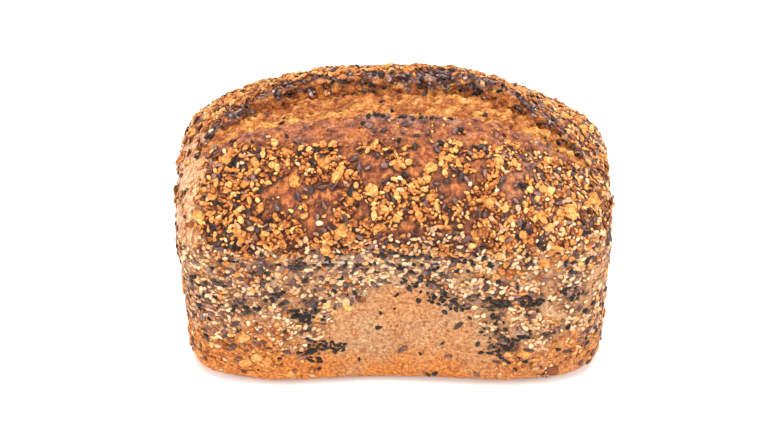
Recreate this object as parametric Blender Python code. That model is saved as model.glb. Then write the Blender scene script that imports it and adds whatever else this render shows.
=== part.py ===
"""Seeded rye loaf baked in a tin: one solid of crust with its largest grains fused on.

Metres, +Z up. The origin lies on the flat base, under the middle of the loaf. The long split
runs along X over the crown, and the wall with the bare, arched patch faces -Y.
"""

import math
import random

import bmesh
import bpy
import numpy as np
from mathutils import Matrix, Vector, noise

# Driving dimensions of the loaf
LENGTH = 0.1905
WIDTH = 0.110
HEIGHT = 0.117
RIM_HEIGHT = 0.075  # where the dough rose out of the tin
BASE_LENGTH = 0.184
BASE_WIDTH = 0.104
BASE_EDGE = 0.006
WALL_CURVE = 0.35  # power of the wall's spread: quick at the base, upright at the rim

# Powers of the rounded-rectangle sections, and of the dome's profile
PLAN_POWER_BASE = 5.0
PLAN_POWER_RIM = 5.5
PLAN_POWER_CREST = 2.0
CROWN_POWER = 2.3
CROWN_START = 0.35  # share of the dome's height that belongs to the grid's side faces
SIDE_TOP = RIM_HEIGHT + CROWN_START * (HEIGHT - RIM_HEIGHT)

# The split along the crown
SPLIT_HALF_LENGTH = 0.084
SPLIT_HALF_WIDTH = 0.0145
SPLIT_SHIFT = 0.0015  # its middle lies this far behind the crest
SPLIT_FORWARD = 0.013  # its tips curve this far forward
SPLIT_DEPTH = 0.0036
EAR_HEIGHT = 0.0055  # the torn back lip, and the crust lifted behind it
EAR_REACH = 1.30  # how far back the lifted crust sinks, in half widths of the split
LIP_HEIGHT = 0.0014  # the low front lip
LIP_WIDTH = 0.16
CRAG_SIZE = 0.007
CRAG_HEIGHT = 0.0022

# Unevenness of the whole form
LUMP_SIZE = 0.030
LUMP_HEIGHT = 0.0012
LUMP_SHIFTS = (3.7, 23.2, 47.9)  # where the noise is read for the lumps along X, Y and Z
RIGHT_DROP = 0.0088  # the right shoulder rose less than the middle
RIGHT_START = 0.30  # share of the half length where it starts to fall
LEFT_DROP = 0.0010
LEFT_START = 0.50
WAIST_DEPTH = 0.0034  # the long walls sink in at mid length as the loaf cools
WAIST_HALF_LENGTH = 0.060
SHELF = 0.0004  # the dough bulges over the tin's rim by this much
SHELF_REACH = 0.016
LEAN = 0.0010  # the base lies this far towards +X of the rim, from how the dough rose

# The grid that the form is laid over: spaces along X, Y and Z
GRID = (34, 26, 9)
WALL_LINES_POWER = 1.6  # crowds the level lines towards the rounded foot
# Lines of the grid that run along the split: their numbers from the front, and their places on it
SPLIT_LINES = (9, 15, 17, 20)
SPLIT_PLACES = (-1.0, 0.80, 1.10, 2.1)
SPLIT_TIP = 0.35  # share of the split's width that the lines keep at its tips

# Grains, each with its length, width and thickness
GRAIN_KINDS = {
    "flake": (0.0078, 0.0058, 0.0024),
    "grit": (0.0050, 0.0040, 0.0036),
    "linseed": (0.0056, 0.0030, 0.0022),
}
GRAIN_COUNTS = {"flake": 42, "grit": 68, "linseed": 70}
GRAIN_SPACING = 0.0085
GRAIN_RAISE = 0.12  # how far a grain's middle stands over the crust, as a share of its thickness
GRAIN_JITTER = 0.16
SPOT_TRIES = 60  # places drawn for each grain, of which most are too near another
SEED = 7

# The seedless arch on the front wall, and the bare strip round the foot
ARCH_HALF_WIDTH = 0.036
ARCH_TOP = 0.060
BARE_FOOT = 0.016

CRUST_COLOUR = (0.43, 0.20, 0.075, 1.0)
CRUST_ROUGHNESS = 0.62


def smooth(value):
    """Smooth step from 0 to 1."""
    value = np.clip(value, 0.0, 1.0)
    return value * value * (3.0 - 2.0 * value)


def section(height):
    """Half length, half width and plan power of the level section at a height."""
    up_wall = np.clip(height / RIM_HEIGHT, 0.0, 1.0)
    spread = up_wall**WALL_CURVE
    half_length = (BASE_LENGTH + (LENGTH - BASE_LENGTH) * spread) / 2.0
    half_width = (BASE_WIDTH + (WIDTH - BASE_WIDTH) * spread) / 2.0
    below_edge = np.clip(1.0 - height / BASE_EDGE, 0.0, 1.0)
    edge_cut = BASE_EDGE * (1.0 - np.sqrt(1.0 - below_edge**2))
    up_crown = np.clip((height - RIM_HEIGHT) / (HEIGHT - RIM_HEIGHT), 0.0, 1.0)
    closing = (1.0 - up_crown**CROWN_POWER) ** (1.0 / CROWN_POWER)
    power = PLAN_POWER_BASE + (PLAN_POWER_RIM - PLAN_POWER_BASE) * up_wall
    power = power + (PLAN_POWER_CREST - power) * up_crown**0.6
    return (half_length - edge_cut) * closing, (half_width - edge_cut) * closing, power


def dome_height(x, y):
    """Height of the smooth dome over a point, halving the range that holds it."""
    low = np.full(len(x), SIDE_TOP - 0.004)
    high = np.full(len(x), HEIGHT)
    for _ in range(40):
        middle = (low + high) / 2.0
        half_length, half_width, power = section(middle)
        wide, deep = np.maximum(half_length, 1e-9), np.maximum(half_width, 1e-9)
        inside = (np.abs(x) / wide) ** power + (np.abs(y) / deep) ** power < 1.0
        low = np.where(inside, middle, low)
        high = np.where(inside, high, middle)
    return (low + high) / 2.0


def lines_on_split(u, v):
    """Moves the crown's lines so that they run along the split's lips, and not near the ends."""
    half_length, half_width, _ = section(np.array(SIDE_TOP))
    t = np.clip(u * half_length / SPLIT_HALF_LENGTH, -1.0, 1.0)
    middle = (SPLIT_SHIFT - SPLIT_FORWARD * t**4) / half_width
    half = SPLIT_HALF_WIDTH * np.maximum(np.sqrt(1.0 - t * t), SPLIT_TIP) / half_width
    lines = (0, *SPLIT_LINES, GRID[1])
    places = [-np.ones_like(v)] + [middle + q * half for q in SPLIT_PLACES] + [np.ones_like(v)]
    line = (v + 1.0) / 2.0 * GRID[1]
    moved = np.copy(v)
    for low, high, start, stop in zip(lines, lines[1:], places, places[1:]):
        between = (line >= low) & (line <= high)
        moved = np.where(between, start + (stop - start) * (line - low) / (high - low), moved)
    return moved + (v - moved) * np.abs(u) ** 6


def plain_form(grid):
    """Points of the smooth loaf for points of the cube from -1 to 1."""
    u, v, w = grid.T
    on_top = w > 1.0 - 1e-6
    on_base = w < -1.0 + 1e-6
    v = np.where(on_top, lines_on_split(u, v), v)
    ring = np.maximum(np.maximum(np.abs(u), np.abs(v)), 1e-9)
    side_height = SIDE_TOP * ((w + 1.0) / 2.0) ** WALL_LINES_POWER
    half_length, half_width, power = section(np.where(on_base, 0.0, side_height))
    norm = ((np.abs(u) / ring) ** power + (np.abs(v) / ring) ** power) ** (1.0 / power)
    norm = 1.0 + (norm - 1.0) * ring**2
    x, y = half_length * u / norm, half_width * v / norm
    height = np.where(on_base, 0.0, side_height)
    inner = on_top & (ring < 1.0 - 1e-6)
    height[inner] = dome_height(x[inner], y[inner])
    return np.stack([x, y, height], axis=1)


def split_place(x, y):
    """Where a point lies on the split: t along it and q across it, both 1 at its edge, and the fade."""
    t = x / SPLIT_HALF_LENGTH
    fade = np.sqrt(np.clip(1.0 - t * t, 0.0, 1.0))
    middle = SPLIT_SHIFT - SPLIT_FORWARD * np.clip(t, -1.0, 1.0) ** 4
    q = (y - middle) / (SPLIT_HALF_WIDTH * np.maximum(fade, 0.25))
    return t, q, fade


def split_relief(x, y):
    """Height that the split adds: a trough, the crust lifted behind its back lip, a low front lip."""
    _, q, fade = split_place(x, y)
    trough = smooth((q + 1.1) / 1.2) * smooth((1.12 - q) / 0.30)
    sinking = np.exp(-((np.maximum(q - 1.05, 0.0) / EAR_REACH) ** 2))
    ear = smooth((q - 0.80) / 0.26) * sinking
    lip = np.exp(-(((q + 1.05) / LIP_WIDTH) ** 2))
    return fade * (EAR_HEIGHT * ear + LIP_HEIGHT * lip - SPLIT_DEPTH * trough)


def crags(x, y):
    """Torn crumb inside the split."""
    _, q, fade = split_place(x, y)
    inside = smooth((1.0 - np.abs(q)) / 0.35) * fade
    torn = [noise.noise(Vector((a, b * 1.4, 0.3)) / CRAG_SIZE) for a, b in zip(x, y)]
    return CRAG_HEIGHT * inside * np.array(torn)


def lumps_at(points):
    """How far the dough's uneven swelling moves each point along X, Y and Z."""
    along = [[noise.noise(p) for p in (points / LUMP_SIZE + shift).tolist()] for shift in LUMP_SHIFTS]
    return LUMP_HEIGHT * np.array(along).T


def uneven(points):
    """The loaf as baked: waist, bulge over the rim, lumps, low shoulders, split and crags."""
    x, y, z = points.T.copy()
    wall = smooth(1.0 - (z - RIM_HEIGHT) / SHELF_REACH)
    at_middle = np.clip(1.0 - (x / WAIST_HALF_LENGTH) ** 2, 0.0, 1.0) ** 2
    y = y - np.sign(y) * WAIST_DEPTH * at_middle * wall * smooth(np.abs(y) / WIDTH * 4.0 - 1.0)
    bulge = SHELF * np.exp(-(((z - RIM_HEIGHT - SHELF_REACH / 2.0) / (SHELF_REACH / 2.0)) ** 2))
    x = x * (1.0 + bulge / (LENGTH / 2.0)) + LEAN * (1.0 - smooth(z / RIM_HEIGHT))
    y = y * (1.0 + bulge / (WIDTH / 2.0))
    lumps = lumps_at(np.stack([x, y, z], axis=1)) * smooth(z / BASE_EDGE)[:, None]
    above = smooth((z - RIM_HEIGHT * 0.6) / (HEIGHT - RIM_HEIGHT * 0.6))
    on_crown = smooth((z - RIM_HEIGHT - 0.008) / 0.012)
    t = 2.0 * x / LENGTH
    fall = RIGHT_DROP * smooth((t - RIGHT_START) / (1.0 - RIGHT_START))
    fall = fall + LEFT_DROP * smooth((-t - LEFT_START) / (1.0 - LEFT_START))
    z = z - above * fall
    z = z + on_crown * (split_relief(x, y) + crags(x, y))
    return np.stack([x, y, z], axis=1) + lumps


def make_loaf(collection, material):
    """The crust: a cube cut into a grid, whose points move to the loaf's form."""
    bpy.ops.mesh.primitive_cube_add(size=2.0)
    loaf = bpy.context.object
    loaf.name = "rye_loaf"
    mesh = bmesh.new()
    mesh.from_mesh(loaf.data)
    for axis, spaces in enumerate(GRID):
        along = [e for e in mesh.edges if abs((e.verts[0].co - e.verts[1].co)[axis]) > 1.0]
        bmesh.ops.subdivide_edges(mesh, edges=along, cuts=spaces - 1, use_grid_fill=True)
    grid = np.array([v.co for v in mesh.verts])
    for vertex, place in zip(mesh.verts, uneven(plain_form(grid))):
        vertex.co = place
    base = [f for f in mesh.faces if max(v.co.z for v in f.verts) < 1e-6]
    bmesh.ops.dissolve_faces(mesh, faces=base)
    bmesh.ops.triangulate(mesh, faces=mesh.faces[:])
    mesh.to_mesh(loaf.data)
    mesh.free()
    loaf.data.materials.append(material)
    for owner in loaf.users_collection:
        owner.objects.unlink(loaf)
    collection.objects.link(loaf)
    return loaf


def takes_grains(place, normal):
    """True where the loaf was rolled in grains: not in the split, on the arch, foot or base."""
    _, q, fade = split_place(place.x, place.y)
    if place.z < BARE_FOOT or normal.z < -0.5:
        return False
    if normal.z > 0.5 and fade > 0.0 and -1.9 < q < 1.05:
        return False
    arch = (place.x / ARCH_HALF_WIDTH) ** 2 + (place.z / ARCH_TOP) ** 2
    return not (place.y < 0.0 and place.z < RIM_HEIGHT and arch < 1.0)


def grain_spots(loaf, draw):
    """Places for the grains, evenly spread by keeping a least distance between them."""
    faces = sorted(loaf.data.polygons, key=lambda f: [round(c, 6) for c in f.center])
    total = sum(GRAIN_COUNTS.values())
    spots = []
    for face in draw.choices(faces, weights=[f.area for f in faces], k=total * SPOT_TRIES):
        corners = sorted((loaf.data.vertices[i].co for i in face.vertices), key=tuple)
        a, b = sorted((draw.random(), draw.random()))
        place = corners[0] * a + corners[1] * (b - a) + corners[2] * (1.0 - b)
        normal = face.normal.copy()
        if not takes_grains(place, normal):
            continue
        if all((place - other).length > GRAIN_SPACING for other, _ in spots):
            spots.append((place, normal))
        if len(spots) == total:
            break
    return spots


def make_grain(name, size, place, normal, draw, collection, material):
    """One grain: a six-sided sphere pulled to its size, made uneven, and laid on the crust."""
    shape = bmesh.new()
    bmesh.ops.create_uvsphere(shape, u_segments=6, v_segments=3, radius=0.5)
    for vertex in shape.verts:
        vertex.co *= 1.0 + draw.uniform(-GRAIN_JITTER, GRAIN_JITTER)
    bmesh.ops.scale(shape, vec=Vector(size), verts=shape.verts)
    lay = normal.to_track_quat("Z", "Y").to_matrix().to_4x4()
    turn = Matrix.Rotation(draw.uniform(0.0, 2.0 * math.pi), 4, "Z")
    bmesh.ops.transform(shape, matrix=lay @ turn, verts=shape.verts)
    mesh = bpy.data.meshes.new(name)
    shape.to_mesh(mesh)
    shape.free()
    mesh.materials.append(material)
    grain = bpy.data.objects.new(name, mesh)
    grain.location = place + normal * (size[2] * GRAIN_RAISE)
    collection.objects.link(grain)
    return grain


def fuse_grains(loaf, grains):
    """Joins the grains to the crust with one union, and removes their objects."""
    join = loaf.modifiers.new("grains", "BOOLEAN")
    join.operation = "UNION"
    join.operand_type = "COLLECTION"
    join.collection = grains
    join.solver = "EXACT"
    bpy.context.view_layer.update()
    joined = loaf.evaluated_get(bpy.context.evaluated_depsgraph_get())
    plain = loaf.data
    loaf.data = bpy.data.meshes.new_from_object(joined)
    loaf.modifiers.clear()
    bpy.data.meshes.remove(plain)
    for grain in list(grains.objects):
        bpy.data.objects.remove(grain)
    bpy.data.collections.remove(grains)


def drop_scraps(loaf):
    """Keeps the largest connected body, so that no loose scrap or sealed hollow stays."""
    mesh = bmesh.new()
    mesh.from_mesh(loaf.data)
    left = set(mesh.verts)
    bodies = []
    while left:
        body = {left.pop()}
        edge = list(body)
        while edge:
            near = {e.other_vert(v) for v in edge for e in v.link_edges} - body
            body |= near
            edge = list(near)
        left -= body
        bodies.append(body)
    bodies.sort(key=len)
    for body in bodies[:-1]:
        bmesh.ops.delete(mesh, geom=list(body), context="VERTS")
    mesh.to_mesh(loaf.data)
    mesh.free()


def crust_material():
    """Browned crust, matt."""
    material = bpy.data.materials.new("crust")
    material.use_nodes = True
    shader = material.node_tree.nodes["Principled BSDF"]
    shader.inputs["Base Color"].default_value = CRUST_COLOUR
    shader.inputs["Roughness"].default_value = CRUST_ROUGHNESS
    shader.inputs["Metallic"].default_value = 0.0
    return material


def main():
    """Clears the scene, then makes the crust and fuses its grains."""
    for old in list(bpy.data.objects):
        bpy.data.objects.remove(old)
    whole = bpy.data.collections.new("rye_bread_loaf")
    grains = bpy.data.collections.new("grains")
    bpy.context.scene.collection.children.link(whole)
    bpy.context.scene.collection.children.link(grains)
    draw = random.Random(SEED)
    material = crust_material()
    loaf = make_loaf(whole, material)
    kinds = [kind for kind, count in GRAIN_COUNTS.items() for _ in range(count)]
    draw.shuffle(kinds)
    spots = grain_spots(loaf, draw)
    for number, (kind, (place, normal)) in enumerate(zip(kinds, spots)):
        make_grain(f"{kind}_{number}", GRAIN_KINDS[kind], place, normal, draw, grains, material)
    fuse_grains(loaf, grains)
    drop_scraps(loaf)


main()
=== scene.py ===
"""Looks of the seeded rye loaf: its crust in fine relief, its seeds, floor, light and camera.

Metres, +Z up, in the CAD model's frame: the split runs along X, and the bare arch faces -Y.
"""

import math

import bmesh
import bpy
import numpy as np
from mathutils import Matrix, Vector, kdtree, noise


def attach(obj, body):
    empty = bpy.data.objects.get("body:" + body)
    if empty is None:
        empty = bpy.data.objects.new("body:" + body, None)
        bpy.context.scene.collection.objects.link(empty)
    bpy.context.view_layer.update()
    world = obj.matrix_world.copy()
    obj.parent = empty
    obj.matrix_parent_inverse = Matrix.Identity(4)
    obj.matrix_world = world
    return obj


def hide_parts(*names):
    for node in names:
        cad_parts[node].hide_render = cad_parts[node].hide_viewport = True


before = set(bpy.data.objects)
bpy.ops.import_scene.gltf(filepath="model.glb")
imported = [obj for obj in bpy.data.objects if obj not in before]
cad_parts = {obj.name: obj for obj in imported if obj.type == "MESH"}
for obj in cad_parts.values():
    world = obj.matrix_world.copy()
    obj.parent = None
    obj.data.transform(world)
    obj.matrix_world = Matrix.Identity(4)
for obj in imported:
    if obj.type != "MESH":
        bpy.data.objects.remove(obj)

# Driving dimensions of the loaf, as in the CAD model
LENGTH = 0.1905
WIDTH = 0.110
HEIGHT = 0.117
RIM_HEIGHT = 0.075
BASE_LENGTH = 0.184
BASE_WIDTH = 0.104
BASE_EDGE = 0.006
WALL_CURVE = 0.35
PLAN_POWER_BASE = 5.0
PLAN_POWER_RIM = 5.5
PLAN_POWER_CREST = 2.0
CROWN_POWER = 2.3
CROWN_START = 0.35
SIDE_TOP = RIM_HEIGHT + CROWN_START * (HEIGHT - RIM_HEIGHT)

SPLIT_HALF_LENGTH = 0.084
SPLIT_HALF_WIDTH = 0.0145
SPLIT_SHIFT = 0.0015
SPLIT_FORWARD = 0.013
SPLIT_DEPTH = 0.0036
EAR_HEIGHT = 0.0055
EAR_REACH = 1.30
LIP_HEIGHT = 0.0014
LIP_WIDTH = 0.16

LUMP_SIZE = 0.030
LUMP_HEIGHT = 0.0012
LUMP_SHIFTS = (3.7, 23.2, 47.9)  # where the noise is read for the lumps along X, Y and Z
RIGHT_DROP = 0.0088
RIGHT_START = 0.30
LEFT_DROP = 0.0010
LEFT_START = 0.50
WAIST_DEPTH = 0.0034
WAIST_HALF_LENGTH = 0.060
SHELF = 0.0004
SHELF_REACH = 0.016
LEAN = 0.0010

# The fine grid: spaces along X, Y and Z, and where its lines run along the split
GRID = (200, 140, 78)
WALL_LINES_POWER = 1.25
SPLIT_LINE_SHARES = (0.34, 0.56, 0.66, 0.76)
SPLIT_PLACES = (-1.0, 0.76, 1.16, 2.1)
SPLIT_TIP = 0.35

# Fine relief, each with the size of its features and its height
RELIEF = {
    "ragged lip": (0.0085, 0.09),
    "torn fibre": (0.0040, 0.0020),
    "crumb pore": (0.0036, 0.0016),
    "tin crease": (0.0045, 0.00045),
    "wrinkle": (0.0070, 0.00060),
    "pimple": (0.0024, 0.00036),
    "grain bed": (0.0013, 0.00022),
    "burnt crumbs": (0.0022, 0.0011),
}
EAR_LEAN = 0.0022  # the lifted lip hangs this far over the split

# The seedless arch on the front wall, and the bare foot
ARCH_MIDDLE = 0.005
ARCH_HALF_WIDTH = 0.044
ARCH_TOP = 0.059
ARCH_EDGE_HEIGHT = 0.0006
FOOT_HEIGHT = 0.018
BARE_BAND_FRONT = -2.05  # place on the split where the seeds start again

# Clusters of black seeds on the front wall, each with its middle and its reach
BLACK_CLUSTERS = (
    ((-0.0700, -0.052, 0.072), (0.0040, 0.020, 0.0028)),
    ((-0.0560, -0.052, 0.062), (0.0032, 0.020, 0.0024)),
    ((-0.0500, -0.052, 0.053), (0.0036, 0.020, 0.0032)),
    ((-0.0680, -0.052, 0.045), (0.0048, 0.020, 0.0024)),
    ((-0.0370, -0.052, 0.043), (0.0044, 0.020, 0.0036)),
    ((-0.0350, -0.052, 0.022), (0.0028, 0.020, 0.0052)),
    ((-0.0260, -0.052, 0.023), (0.0036, 0.020, 0.0024)),
    ((-0.0110, -0.052, 0.068), (0.0096, 0.020, 0.0022)),
    ((0.0100, -0.052, 0.067), (0.0104, 0.020, 0.0024)),
    ((0.0020, -0.052, 0.0725), (0.0220, 0.020, 0.0018)),
    ((0.0280, -0.052, 0.0715), (0.0080, 0.020, 0.0016)),
    ((-0.0320, -0.052, 0.0700), (0.0080, 0.020, 0.0018)),
    ((0.0110, -0.052, 0.058), (0.0048, 0.020, 0.0022)),
    ((0.0190, -0.052, 0.051), (0.0048, 0.020, 0.0028)),
    ((0.0280, -0.052, 0.046), (0.0040, 0.020, 0.0024)),
    ((0.0450, -0.052, 0.047), (0.0048, 0.020, 0.0032)),
    ((0.0430, -0.052, 0.034), (0.0032, 0.020, 0.0056)),
    ((0.0480, -0.052, 0.024), (0.0044, 0.020, 0.0052)),
    ((0.0580, -0.052, 0.050), (0.0048, 0.020, 0.0024)),
    ((0.0770, -0.052, 0.050), (0.0040, 0.020, 0.0024)),
    ((0.0640, -0.052, 0.031), (0.0040, 0.020, 0.0024)),
)
# Bare glossy patches on the front of the dome
BARE_PATCHES = (
    ((-0.0390, -0.047, 0.098), (0.0120, 0.012, 0.0075)),
    ((0.0230, -0.045, 0.101), (0.0060, 0.010, 0.0060)),
    ((0.0060, -0.054, 0.083), (0.0070, 0.010, 0.0045)),
    ((-0.0080, -0.038, 0.107), (0.0050, 0.006, 0.0060)),
    ((0.0500, -0.040, 0.098), (0.0050, 0.008, 0.0060)),
)

SEED = 11

# Camera: fitted to the outline of the loaf in the photograph
ELEVATION = math.radians(37.0)
DISTANCE = 1.0
AIM = Vector((-0.0012, 0.0014, 0.0519))
LENS = 102.0


def smooth(value):
    """Smooth step from 0 to 1."""
    value = np.clip(value, 0.0, 1.0)
    return value * value * (3.0 - 2.0 * value)


def noise_at(points, size, shift=0.0, stretch=(1.0, 1.0, 1.0)):
    """Smooth noise from about -1 to 1, with features of one size in metres."""
    places = points / (size * np.array(stretch)) + shift
    return np.array([noise.noise(p) for p in places.tolist()])


def cells_at(points, size, shift=0.0):
    """Distance to the nearest point of a random cloud, 0 at the points."""
    places = points / size + shift
    return np.array([noise.voronoi(p)[0][0] for p in places.tolist()])


def section(height):
    """Half length, half width and plan power of the level section at a height."""
    up_wall = np.clip(height / RIM_HEIGHT, 0.0, 1.0)
    spread = up_wall**WALL_CURVE
    half_length = (BASE_LENGTH + (LENGTH - BASE_LENGTH) * spread) / 2.0
    half_width = (BASE_WIDTH + (WIDTH - BASE_WIDTH) * spread) / 2.0
    below_edge = np.clip(1.0 - height / BASE_EDGE, 0.0, 1.0)
    edge_cut = BASE_EDGE * (1.0 - np.sqrt(1.0 - below_edge**2))
    up_crown = np.clip((height - RIM_HEIGHT) / (HEIGHT - RIM_HEIGHT), 0.0, 1.0)
    closing = (1.0 - up_crown**CROWN_POWER) ** (1.0 / CROWN_POWER)
    power = PLAN_POWER_BASE + (PLAN_POWER_RIM - PLAN_POWER_BASE) * up_wall
    power = power + (PLAN_POWER_CREST - power) * up_crown**0.6
    return (half_length - edge_cut) * closing, (half_width - edge_cut) * closing, power


def dome_height(x, y):
    """Height of the smooth dome over a point, halving the range that holds it."""
    low = np.full(len(x), SIDE_TOP - 0.004)
    high = np.full(len(x), HEIGHT)
    for _ in range(40):
        middle = (low + high) / 2.0
        half_length, half_width, power = section(middle)
        wide, deep = np.maximum(half_length, 1e-9), np.maximum(half_width, 1e-9)
        inside = (np.abs(x) / wide) ** power + (np.abs(y) / deep) ** power < 1.0
        low = np.where(inside, middle, low)
        high = np.where(inside, high, middle)
    return (low + high) / 2.0


def lines_on_split(u, v):
    """Moves the crown's lines so that they run along the split's lips, and not near the ends."""
    half_length, half_width, _ = section(np.array(SIDE_TOP))
    t = np.clip(u * half_length / SPLIT_HALF_LENGTH, -1.0, 1.0)
    middle = (SPLIT_SHIFT - SPLIT_FORWARD * t**4) / half_width
    half = SPLIT_HALF_WIDTH * np.maximum(np.sqrt(1.0 - t * t), SPLIT_TIP) / half_width
    shares = (0.0, *SPLIT_LINE_SHARES, 1.0)
    places = [-np.ones_like(v)] + [middle + q * half for q in SPLIT_PLACES] + [np.ones_like(v)]
    share = (v + 1.0) / 2.0
    moved = np.copy(v)
    for low, high, start, stop in zip(shares, shares[1:], places, places[1:]):
        between = (share >= low) & (share <= high)
        moved = np.where(between, start + (stop - start) * (share - low) / (high - low), moved)
    return moved + (v - moved) * np.abs(u) ** 6


def plain_form(grid):
    """Points of the smooth loaf for points of the cube from -1 to 1."""
    u, v, w = grid.T
    on_top = w > 1.0 - 1e-6
    v = np.where(on_top, lines_on_split(u, v), v)
    ring = np.maximum(np.maximum(np.abs(u), np.abs(v)), 1e-9)
    side_height = SIDE_TOP * ((w + 1.0) / 2.0) ** WALL_LINES_POWER
    half_length, half_width, power = section(side_height)
    norm = ((np.abs(u) / ring) ** power + (np.abs(v) / ring) ** power) ** (1.0 / power)
    norm = 1.0 + (norm - 1.0) * ring**2
    x, y = half_length * u / norm, half_width * v / norm
    inner = on_top & (ring < 1.0 - 1e-6)
    side_height[inner] = dome_height(x[inner], y[inner])
    return np.stack([x, y, side_height], axis=1)


def split_place(x, y):
    """Where a point lies on the split: t along it and q across it, both 1 at its edge, and the fade."""
    t = x / SPLIT_HALF_LENGTH
    fade = np.sqrt(np.clip(1.0 - t * t, 0.0, 1.0))
    middle = SPLIT_SHIFT - SPLIT_FORWARD * np.clip(t, -1.0, 1.0) ** 4
    q = (y - middle) / (SPLIT_HALF_WIDTH * np.maximum(fade, 0.25))
    return t, q, fade


def ragged_place(x, y):
    """The same, with lips that wander and are torn."""
    t, q, fade = split_place(x, y)
    size, reach = RELIEF["ragged lip"]
    line = np.stack([x, np.where(q > 0.0, 0.03, 0.0), np.zeros_like(x)], axis=1)
    wander = noise_at(line, size * 3.0) + 0.6 * noise_at(line, size)
    wander = wander + 0.4 * noise_at(line, size / 3.0)
    return t, q + reach * wander, fade


def split_relief(x, y):
    """Height that the split adds: a trough, the crust lifted behind its torn back lip, a low front lip."""
    _, q, fade = ragged_place(x, y)
    trough = smooth((q + 1.1) / 1.2) * smooth((1.12 - q) / 0.30)
    sinking = np.exp(-((np.maximum(q - 1.05, 0.0) / EAR_REACH) ** 2))
    ear = smooth((q - 0.80) / 0.26) * sinking
    lip = np.exp(-(((q + 1.05) / LIP_WIDTH) ** 2))
    return fade * (EAR_HEIGHT * ear + LIP_HEIGHT * lip - SPLIT_DEPTH * trough)


def uneven(points):
    """The loaf as baked: waist, bulge over the rim, lumps, low shoulders, and split."""
    x, y, z = points.T.copy()
    wall = smooth(1.0 - (z - RIM_HEIGHT) / SHELF_REACH)
    at_middle = np.clip(1.0 - (x / WAIST_HALF_LENGTH) ** 2, 0.0, 1.0) ** 2
    y = y - np.sign(y) * WAIST_DEPTH * at_middle * wall * smooth(np.abs(y) / WIDTH * 4.0 - 1.0)
    bulge = SHELF * np.exp(-(((z - RIM_HEIGHT - SHELF_REACH / 2.0) / (SHELF_REACH / 2.0)) ** 2))
    x = x * (1.0 + bulge / (LENGTH / 2.0)) + LEAN * (1.0 - smooth(z / RIM_HEIGHT))
    y = y * (1.0 + bulge / (WIDTH / 2.0))
    swollen = np.stack([x, y, z], axis=1)
    lumps = np.stack([noise_at(swollen, LUMP_SIZE, shift) for shift in LUMP_SHIFTS], axis=1)
    lumps = LUMP_HEIGHT * lumps * smooth(z / BASE_EDGE)[:, None]
    above = smooth((z - RIM_HEIGHT * 0.6) / (HEIGHT - RIM_HEIGHT * 0.6))
    on_crown = smooth((z - RIM_HEIGHT - 0.008) / 0.012)
    t = 2.0 * x / LENGTH
    fall = RIGHT_DROP * smooth((t - RIGHT_START) / (1.0 - RIGHT_START))
    fall = fall + LEFT_DROP * smooth((-t - LEFT_START) / (1.0 - LEFT_START))
    z = z - above * fall
    z = z + on_crown * split_relief(x, y)
    _, q, fade = ragged_place(x, y)
    y = y - on_crown * fade * EAR_LEAN * np.exp(-(((q - 1.15) / 0.16) ** 2))
    return np.stack([x, y, z], axis=1) + lumps


def patches(places, spots):
    """How near each place is to the middles of some patches, from 0 to 1."""
    near = np.zeros(len(places))
    for middle, reach in spots:
        away = ((places - np.array(middle)) / np.array(reach)) ** 2
        near = np.maximum(near, np.exp(-away.sum(axis=1)))
    return near


def split_regions(points, blur, fine):
    """Torn crumb and its bright part, the bare band and low ridge before it, and its lifted lip."""
    x, y, z = points.T
    _, q, fade = ragged_place(x, y)
    crown = smooth((z - RIM_HEIGHT - 0.010) / 0.006)
    inside = crown * smooth((fade - 0.02) / 0.12)
    before_lip = smooth((1.02 - q) / 0.10)
    crumb = inside * smooth((q + 1.02 + 0.16 * blur + 0.08 * fine) / 0.12) * before_lip
    front = BARE_BAND_FRONT * (0.55 + 0.45 * fade) + 0.26 * blur + 0.16 * fine
    band = inside * smooth((q - front) / 0.16) * before_lip
    ear = inside * np.exp(-(((q - 1.08 - 0.05 * blur - 0.04 * fine) / 0.14) ** 4))
    behind = inside * np.exp(-(((q - 1.40) / 0.35) ** 2)) * smooth(0.4 + 1.8 * blur)
    clods = 1.1 * noise_at(points, 0.0065, 17.0) + 0.8 * noise_at(points, 0.0028, 19.0)
    # Golden towards the front and in clods, brown towards the back lip: partly the crumb's own browner
    # colour, partly painted shade under the lifted lip
    golden = 0.38 + 0.54 * smooth((x + 0.03) / 0.06)
    bright = smooth((golden - q + 0.8 * blur) / 0.9) * smooth(0.72 + 3.0 * clods)
    bright = np.clip(bright + 0.6 * smooth(4.0 * clods - 0.8), 0.0, 1.0)
    # The low ridge before the split, coloured like the scorched lip: partly scorched crust, partly a
    # painted shadow line along the ridge
    ridge_end = smooth((0.026 - np.abs(x - 0.006)) / 0.010)
    ridge = inside * np.exp(-(((q + 1.06 + 0.08 * blur) / 0.09) ** 2))
    ridge = ridge * np.maximum(ridge_end, smooth(2.2 * blur))
    return {
        "crumb": crumb,
        "bright": crumb * bright,
        "band": band,
        "ridge": ridge,
        "ear": ear,
        "burnt": np.clip(ear + 0.6 * behind, 0.0, 1.0),
    }


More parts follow.
